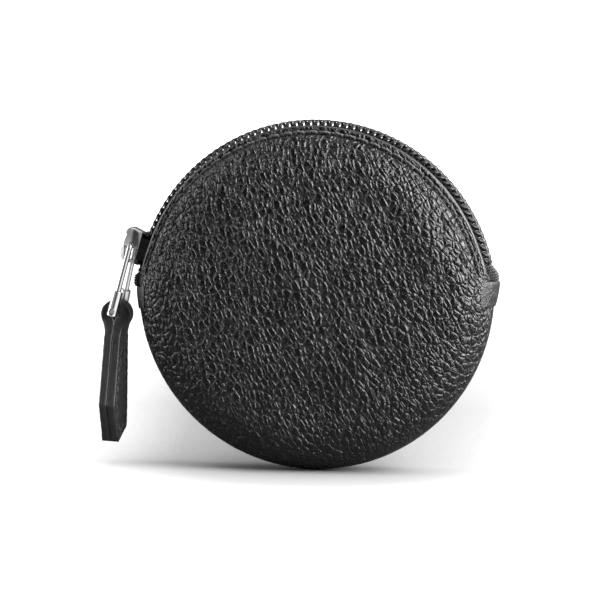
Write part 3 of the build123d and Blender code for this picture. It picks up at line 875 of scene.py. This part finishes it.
def tape_fold(name, angles, radii, droop):
    """Tape end turned back over the coil: a ribbed roll that thickens from the coil towards the ear."""
    rows = 70
    columns = 96
    along = np.linspace(0, 1, rows)
    turns = 2 * np.pi * np.arange(columns) / columns
    outer = radii[0] + (radii[1] - radii[0]) * smoothstep(0, droop, along)
    inner = TAPE_TOP - FOLD_DEPTH
    middle = (outer + inner) / 2
    reach = (outer - inner) / 2
    wide, high = (np.sign(c) * np.abs(c) ** FOLD_CORNER for c in (np.cos(turns), np.sin(turns)))
    length = abs(math.radians(angles[1] - angles[0])) * middle.mean()
    girth = turns * (FOLD_HALF_HEIGHT + reach.mean()) / 2 * 1.27
    ribs = knit((along * length)[:, None], girth[None, :])
    closing = (1 - np.abs(2 * along - 1) ** 5) ** 0.4
    swell = (0.25 + 0.75 * closing)[:, None] - RIB_DEPTH * (1 - ribs)
    radius = middle[:, None] + reach[:, None] * wide[None] * swell
    flat = np.stack([radius, FOLD_HALF_HEIGHT * high[None] * swell, np.zeros_like(radius)], -1)
    shape = rotate_to(flat, np.linspace(angles[0], angles[1], rows)[:, None])
    faces = capped_faces(rows, columns, flip=angles[1] > angles[0], turn_caps=True)
    return make_piece(name, shape.reshape(-1, 3), faces, [fold_cloth])


for side, label, body, shift in ((-1, "front", "front_lip", 0.0), (1, "back", "pouch", 0.5)):
    coil = coil_row("zip_coil_" + label, side, shift)
    register(coil, "zip_coil", body, "zip_teeth_" + label)
    register(zip_tape("zip_cloth_" + label, side), "zip_tape", body, "zip_tape_" + label)
    register(coil_thread("zip_sewing_" + label, side), "thread", body)


# --- Zip ends -----------------------------------------------------------------------------
EAR_WRAP = math.radians(36.0)
EAR_BORDER_LIFT = 0.30
EAR_UNDERSIDE = -0.5


def ear(name, first_angle, last_angle, outer):
    """A short leather patch saddled over one end of the zip, thickest on the edge of the purse."""
    rows = 60
    columns = 90
    along, across = np.meshgrid(np.linspace(-1, 1, rows), np.linspace(-1, 1, columns), indexing="ij")
    angle = np.radians(first_angle + (last_angle - first_angle) * (along + 1) / 2)
    turn = EAR_WRAP * across
    edge = (1 - np.abs(along) ** 6) * (1 - np.abs(across) ** 6)
    soft = np.clip(edge, 0, 1) ** 0.35 * smoothstep(1.0, 0.55, np.abs(across)) ** 0.5
    taper = 0.5 * (1 + along)
    crown = outer - PANEL_RADIUS - EAR_BORDER_LIFT
    saddle = crown * np.cos(across * np.pi / 2) ** 2 * (0.10 + 0.90 * taper)
    lift = 0.05 + soft * (EAR_BORDER_LIFT * taper + saddle)
    layers = []
    for offset in (lift, np.full_like(lift, EAR_UNDERSIDE)):
        radius = FLAT_RADIUS + (EDGE_ROUND + offset) * np.cos(turn)
        height = (HALF_THICKNESS + offset) * np.sin(turn)
        layers.append(np.stack([radius * np.cos(angle), height, radius * np.sin(angle)], -1).reshape(-1, 3))
    piece = make_piece(name, np.concatenate(layers), sheet_faces(rows, columns, flip=True), [ear_leather])
    return press_in_grain(piece, np.concatenate([0.07 * soft.ravel(), np.zeros(rows * columns)]))


left_ear = ear("left_ear_leather", 182.6, 175.3, EAR_OUTER - 1.1)
register(left_ear, "smooth_leather", "pouch", "left_ear")
right_ear = ear("right_ear_leather", -0.6, 7.6, EAR_OUTER - 0.1)
register(right_ear, "smooth_leather", "pouch", "right_ear")
left_fold = tape_fold("left_tape_fold", (170.6, 175.9), (FOLD_OUTER - 0.5, FOLD_OUTER + 0.25), 0.4)
register(left_fold, "zip_tape", "pouch", "zip_tape_ends")
right_fold = tape_fold("right_tape_fold", (14.2, 6.6), (TEETH_OUTER - 0.3, FOLD_OUTER + 0.4), 0.75)
register(right_fold, "zip_tape", "pouch")


# --- Stitching ----------------------------------------------------------------------------
STITCH_PITCH = 3.2
STITCH_LENGTH = 2.7
THREAD_RADIUS = 0.40
STITCH_DIP = 0.45
STITCH_SINK = -0.36
FIRST_STITCH = 4.5
LAST_STITCH = 176.0


def sewn_stitch(start, end, outward, radius):
    """One stitch: a two-strand thread whose ends dive into their holes."""
    share = np.linspace(0, 1, 13)
    run = np.subtract(end, start)
    arch = np.sin(np.pi * share) ** 0.45
    middle = start + run * share[:, None] + outward * (STITCH_DIP * (arch - 1))[:, None]
    beside = np.cross(unit(run), outward)
    parts = []
    for strand in (0, np.pi):
        twist = strand + 2.6 * np.pi * share
        swing = np.outer(np.cos(twist), beside) + np.outer(np.sin(twist), outward)
        parts.append(tube(middle + swing * radius * 0.42, radius * 0.62, sides=7))
    return join_parts(parts)


def rim_stitches(name, side):
    """The row in the groove just inside a panel's cut edge."""
    turn = math.asin(CUT_HEIGHT / HALF_THICKNESS)
    edge_distance = FLAT_RADIUS + np.interp(-turn, -ellipse_turn, ellipse_length)
    distance = edge_distance - GROOVE_INSET
    at_turn = np.interp(distance - FLAT_RADIUS, ellipse_length, ellipse_turn)
    radius = FLAT_RADIUS + (EDGE_ROUND + STITCH_SINK) * math.cos(at_turn)
    height = side * (HALF_THICKNESS + STITCH_SINK) * math.sin(at_turn)
    slope = unit(np.array([math.cos(at_turn) / EDGE_ROUND, side * math.sin(at_turn) / HALF_THICKNESS, 0]))
    step = math.degrees(STITCH_PITCH / radius)
    half = math.degrees(STITCH_LENGTH / 2 / radius)
    parts = []
    for k in range(int((LAST_STITCH - FIRST_STITCH) / step)):
        angle = FIRST_STITCH + step * (k + 0.5)
        shift = np.array([0, 0, centre_z(np.radians(angle))])
        ends = [rotate_to((radius, height, 0.0), angle + d) + shift for d in (-half, half)]
        parts.append(sewn_stitch(*ends, rotate_to(slope, angle), THREAD_RADIUS))
    return make_piece(name, *join_parts(parts), [thread])


register(rim_stitches("front_rim_stitches", -1), "thread", "front_lip", "front_panel_stitching")
register(rim_stitches("back_rim_stitches", 1), "thread", "pouch", "back_panel_stitching")


# --- Linings ------------------------------------------------------------------------------
LINING_OFFSET = 2.15
LINING_THICKNESS = 0.5
LINING_DRAW = 0.9


def pocket_lining(name, back, seed):
    """Thin cloth inside a panel, with soft folds."""
    count = 110
    share, direction = disc_grid(count)
    low = np.maximum(edge_height(direction) + 0.7, 2.5)
    layers = []
    for offset in (LINING_OFFSET, LINING_OFFSET + LINING_THICKNESS):
        rise = HALF_THICKNESS - offset
        run = EDGE_ROUND - offset
        low_turn = np.arcsin(np.clip(low / rise, 0, 1))
        distance = share * (FLAT_RADIUS + run * (np.pi / 2 - low_turn) * LINING_DRAW)
        turn = np.clip(np.pi / 2 - (distance - FLAT_RADIUS) / (run * LINING_DRAW), low_turn, np.pi / 2)
        radius = np.where(distance < FLAT_RADIUS, distance, FLAT_RADIUS + run * np.cos(turn))
        layers.append([radius, rise * np.sin(turn)])
    x = layers[0][0] * np.cos(direction)
    z = layers[0][0] * np.sin(direction)
    folds = ripples(x, z, (22.0, 15.0, 11.0, 7.0), 0.014, np.random.default_rng(seed))
    folds = (folds - folds.max()) * smoothstep(1.0, 0.75, share)
    points = [spread(radius, height + folds, direction, back) for radius, height in layers]
    return make_piece(name, np.concatenate(points), sheet_faces(count, count, flip=back), [lining_cloth])


front_pocket = pocket_lining("front_pocket_lining", back=False, seed=21)
register(front_pocket, "lining_cloth", "front_lip", "front_lining", "front_lining_lip")
back_pocket = pocket_lining("back_pocket_lining", back=True, seed=22)
register(back_pocket, "lining_cloth", "pouch", "back_lining")


# --- Pull tab -----------------------------------------------------------------------------
PIN = np.array(joints["pull_tab_swing"]["pos_m"]) / MM - ARC_CENTRE
TAB_LEAN = 3.0
TAB_LAYER = 2.0
TAB_LENGTH = 33.0
LOOP_RADIUS = 3.55
LOOP_DROP = 0.8
LOOP_JOIN = 5.2
TAB_NECK = (2.75, 2.0)
TAB_SHOULDER = (4.15, 6.5)
TAB_FRONT_CORNER = (6.5, 23.5)
TAB_BACK_CORNER = (7.0, 29.8)
TAB_TIP_Y = -1.1
LOOP_FILL = 0.75
TAB_ROUNDING = 0.22
TAB_CROWN = 0.10
TAB_GRAIN = 0.10


def place_tab(points):
    """Points with x across the layers, y along the pin and z up from the pin, to the hanging tab."""
    return rotate_to(points, -TAB_LEAN) + PIN


def tab_sides(drop):
    """Lowest and highest y of the tab at a distance below the pin."""
    front_drops = [TAB_NECK[1], TAB_SHOULDER[1], TAB_FRONT_CORNER[1], TAB_LENGTH]
    front = [-TAB_NECK[0], -TAB_SHOULDER[0], -TAB_FRONT_CORNER[0], TAB_TIP_Y - 0.15]
    back_drops = [TAB_NECK[1], TAB_SHOULDER[1], TAB_FRONT_CORNER[1], TAB_BACK_CORNER[1], TAB_LENGTH]
    back = [TAB_NECK[0], TAB_SHOULDER[0], TAB_FRONT_CORNER[0], TAB_BACK_CORNER[0], TAB_TIP_Y + 0.15]
    return np.interp(drop, front_drops, front), np.interp(drop, back_drops, back)


def strap_line():
    """Middle line of the folded strap, down from the tip, round the loop and back: (x, z) points."""
    radius = LOOP_RADIUS - TAB_LAYER / 2
    inner = TAB_LAYER / 2 + 0.03
    reach = LOOP_JOIN - LOOP_DROP
    turn = math.acos(radius / math.hypot(reach, inner)) - math.atan2(inner, reach)
    side = math.pi / 2 - turn
    arc = np.linspace(math.pi + side, -side, 60)
    loop = np.stack([radius * np.cos(arc), -LOOP_DROP + radius * np.sin(arc)], 1)
    straight = np.linspace(-TAB_LENGTH, -LOOP_JOIN, 100)
    left = np.stack([np.full(100, -inner), straight], 1)
    right = np.stack([np.full(100, inner), straight[::-1]], 1)
    line = resampled(np.concatenate([left, loop, right]), 330)[0]
    for _ in range(12):
        line[1:-1] = (line[:-2] + 2 * line[1:-1] + line[2:]) / 4
    return line


def tab_section():
    """Once round the strap's section: share across, share through (1 outer face, -1 inner), finish."""
    across = np.linspace(-0.93, 0.93, 34)
    section = [(a, 1.0, 0) for a in across]
    corner = np.linspace(np.pi / 2, -np.pi / 2, 9)[1:-1]
    section += [(1.0, math.sin(c), 1) for c in corner]
    section += [(a, -1.0, 2) for a in across[::-4]]
    section += [(-1.0, -math.sin(c), 1) for c in corner]
    return section


def folded_tab():
    """One strap folded round the pin, grain outside, with painted cut edges."""
    line = strap_line()
    tangent = unit(np.gradient(line, axis=0))
    outward = np.stack([-tangent[:, 1], tangent[:, 0]], 1)
    low, high = tab_sides(-line[:, 1])
    middle = (low + high) / 2
    half = (high - low) / 2
    closing = LOOP_FILL * (1 - smoothstep(3.0, 6.5, -line[:, 1]))
    section = tab_section()
    finishes = [finish for _, _, finish in section]
    columns = len(section)
    points = np.zeros((len(line), columns, 3))
    for j, (across, through, finish) in enumerate(section):
        inset = TAB_ROUNDING * (1 - math.sqrt(max(0.0, 1 - through**2))) if finish == 1 else 0.0
        crown = TAB_CROWN * (1 - across**2) if finish == 0 else 0.0
        depth = through * (TAB_LAYER / 2 + (closing if through < 0 else 0.0)) + crown
        points[:, j, 0] = line[:, 0] + outward[:, 0] * depth
        points[:, j, 1] = middle + across * (half - inset)
        points[:, j, 2] = line[:, 1] + outward[:, 1] * depth
    around = [1 if 1 in pair else pair[0] for pair in zip(finishes, finishes[1:] + finishes[:1])]
    kinds = around * (len(line) - 1) + [1, 1]
    faces = capped_faces(len(line), columns)
    points = place_tab(points.reshape(-1, 3))
    piece = make_piece("folded_tab", points, faces, [tab_leather, edge_paint, flesh_side], kinds)
    return press_in_grain(piece, [TAB_GRAIN if finish == 0 else 0.0 for finish in finishes] * len(line))


def tab_stitch_path():
    inset = 1.5
    return [
        (-TAB_SHOULDER[0] + inset, TAB_SHOULDER[1] + 2.4),
        (-TAB_FRONT_CORNER[0] + inset, TAB_FRONT_CORNER[1] - inset / 2),
        (TAB_TIP_Y, TAB_LENGTH - 2 * inset),
        (TAB_BACK_CORNER[0] - inset, TAB_BACK_CORNER[1] - inset),
        (TAB_SHOULDER[0] - inset, TAB_SHOULDER[1] + 2.4),
    ]


def tab_stitches():
    """The row round the tab's border, on both faces."""
    pitch = 2.5
    length = 1.9
    depth = TAB_LAYER + 0.12
    path = tab_stitch_path()
    parts = []
    for (y0, d0), (y1, d1) in zip(path, path[1:]):
        span = math.hypot(y1 - y0, d1 - d0)
        count = max(1, round(span / pitch))
        for k in range(count):
            middle = (k + 0.5) / count
            shares = (middle - length / 2 / span, middle + length / 2 / span)
            for side in (-1, 1):
                ends = [(side * depth, y0 + (y1 - y0) * f, -(d0 + (d1 - d0) * f)) for f in shares]
                parts.append(sewn_stitch(*ends, np.array([side, 0.0, 0.0]), 0.26))
    points, faces = join_parts(parts)
    return make_piece("tab_stitches", place_tab(points), faces, [thread])


register(folded_tab(), "grained_leather", "pull_tab", "pull_tab")
register(tab_stitches(), "thread", "pull_tab", "pull_tab_stitching")


# --- CAD nodes that keep their shape ------------------------------------------------------
NODE_FINISHES = {
    "slider_body": shade_painted_chrome,
    "slider_bridge": cap_chrome,
    "lock_pawl": chrome,
    "pull_link_wire": chrome,
    "pull_barrels": chrome,
    "pull_pin": chrome,
    "top_stops": nylon,
    "bottom_stop": nylon,
    "bottom_seam_stitching": thread,
}
for node, finish in NODE_FINISHES.items():
    mesh = frame["nodes"][node].data
    mesh.materials.clear()
    mesh.materials.append(finish)


# --- Stage, light and camera --------------------------------------------------------------
FLOOR_Z = min(panel_low[2], lip_low[2]) * MM
FLOOR_REACH = 4.0
COVE_START = -5 * MM
COVE_RADIUS = 45 * MM
COVE_TURN = math.radians(42.0)
# The floor glows where it is open to the sky and dims where the purse closes it in, a painted contact
# shadow; it glows again this far from the purse.
PAINTED_SHADOW_GLOW = {"From Min": 0.46, "From Max": 0.97, "To Min": 0.0, "To Max": 0.74}
FAR_AWAY = {"From Min": 55 * MM, "From Max": 100 * MM, "To Min": 0.0, "To Max": 0.8}


def floor_material():
    """White to the camera away from the purse, with a painted contact shadow where the purse closes it in;
    grey to everything else, and clear from behind.
    """
    material, tree, shader = new_material("floor")
    where = add_node(tree, "ShaderNodeTexCoord").outputs["Object"]
    tone = ramp(tree, noise(tree, where, 30.0, 2.0), [(0.0, 0.21), (1.0, 0.23)])
    seen = add_node(tree, "ShaderNodeLightPath").outputs["Is Camera Ray"]
    dimmed = plus(tree, times(tree, seen, 0.5), 0.5)
    away = add_node(tree, "ShaderNodeVectorMath", {0: where}, operation="LENGTH").outputs["Value"]
    # Occlusion sets the glow near the purse: a painted contact shadow.
    occlusion = add_node(tree, "ShaderNodeAmbientOcclusion", {"Distance": 60 * MM}, samples=16).outputs["AO"]
    near, far = (
        add_node(tree, "ShaderNodeMapRange", {"Value": value, **limits}).outputs["Result"]
        for value, limits in ((occlusion, PAINTED_SHADOW_GLOW), (away, FAR_AWAY)))
    feed(tree, shader, {
        "Base Color": scaled(tree, tone, dimmed),
        "Roughness": 0.8,
        "Emission Color": (1, 1, 1, 1),
        "Emission Strength": times(tree, plus(tree, near, far), seen),
    })
    facing_away = add_node(tree, "ShaderNodeNewGeometry").outputs["Backfacing"]
    clear = add_node(tree, "ShaderNodeBsdfTransparent").outputs[0]
    behind = times(tree, facing_away, seen)
    mix = add_node(tree, "ShaderNodeMixShader", {0: behind, 1: shader.outputs[0], 2: clear})
    output = next(node for node in tree.nodes if node.type == "OUTPUT_MATERIAL")
    feed(tree, output, {"Surface": mix.outputs[0]})
    return material


def add_floor():
    """A sheet that curves up behind the purse."""
    turns = np.linspace(0, COVE_TURN, 24)
    depths = np.concatenate([[-FLOOR_REACH], COVE_START + COVE_RADIUS * np.sin(turns)])
    heights = np.concatenate([[0], COVE_RADIUS * (1 - np.cos(turns))])
    depths = np.append(depths, depths[-1] + FLOOR_REACH)
    heights = np.append(heights, heights[-1] + FLOOR_REACH * math.tan(COVE_TURN))
    points = [(x, y, FLOOR_Z + z) for y, z in zip(depths, heights) for x in (-FLOOR_REACH, FLOOR_REACH)]
    mesh = bpy.data.meshes.new("floor")
    mesh.from_pydata(points, [], grid_faces(len(points) // 2, 2).tolist())
    mesh.polygons.foreach_set("use_smooth", np.ones(len(mesh.polygons), bool))
    mesh.materials.append(floor_material())
    add_object("floor", mesh)


def add_world():
    """White to the camera; to the object, bright above and dim in front."""
    world = bpy.data.worlds.new("studio")
    bpy.context.scene.world = world
    world.use_nodes = True
    tree = world.node_tree
    tree.nodes.clear()
    direction = add_node(tree, "ShaderNodeTexCoord").outputs["Generated"]
    front = dot(tree, direction, (0.0, -1.0, 0.25))
    share = plus(tree, times(tree, front, 0.5), 0.5, clamp=True)
    tone = ramp(tree, share, [(0.35, 0.17), (0.62, 0.075), (0.85, 0.006)])
    shine = add_node(tree, "ShaderNodeBackground", {"Color": tone, "Strength": 1.0})
    seen = add_node(tree, "ShaderNodeBackground", {"Color": (1, 1, 1, 1), "Strength": 1.0})
    camera_ray = add_node(tree, "ShaderNodeLightPath").outputs["Is Camera Ray"]
    mix = add_node(tree, "ShaderNodeMixShader", {0: camera_ray, 1: shine.outputs[0], 2: seen.outputs[0]})
    output = add_node(tree, "ShaderNodeOutputWorld")
    tree.links.new(mix.outputs[0], output.inputs["Surface"])


def add_softbox(name, location, size, power):
    """A soft rectangular light, aimed at the middle of the purse."""
    light = bpy.data.lights.new(name, "AREA")
    light.shape = "RECTANGLE"
    light.size, light.size_y = size
    light.energy = power
    lamp = add_object(name, light)
    lamp.location = location
    aim = Vector((0, -0.01, 0)) - Vector(location)
    lamp.rotation_euler = aim.to_track_quat("-Z", "Y").to_euler()


VIEW_AZIMUTH = math.radians(11.0)
VIEW_ELEVATION = math.radians(4.0)
VIEW_DISTANCE = 600 * MM
FRAME_WIDTH = 148.3 * MM
TARGET_X = -3.7
TARGET_Z = 0.42


def add_camera():
    """A long lens, a little to the right of the front and a little above."""
    data = bpy.data.cameras.new("camera")
    data.lens = data.sensor_width * VIEW_DISTANCE / FRAME_WIDTH
    camera = add_object("camera", data)
    level = math.cos(VIEW_ELEVATION)
    sideways, forward = math.sin(VIEW_AZIMUTH), -math.cos(VIEW_AZIMUTH)
    back = Vector((sideways * level, forward * level, math.sin(VIEW_ELEVATION)))
    target = Vector((TARGET_X * MM, ARC_CENTRE[1] * MM, TARGET_Z * MM))
    camera.location = target + back * VIEW_DISTANCE
    camera.rotation_euler = (-back).to_track_quat("-Z", "Y").to_euler()
    bpy.context.scene.camera = camera


add_floor()
add_world()
add_softbox("right_softbox", (0.58, -0.16, 0.30), (0.45, 0.60), 21.0)
add_softbox("left_softbox", (-0.60, -0.06, 0.20), (0.35, 0.5), 4.0)
add_softbox("top_softbox", (0.0, 0.25, 0.75), (0.6, 0.4), 1.2)
add_camera()
bpy.context.scene.view_settings.view_transform = "Standard"
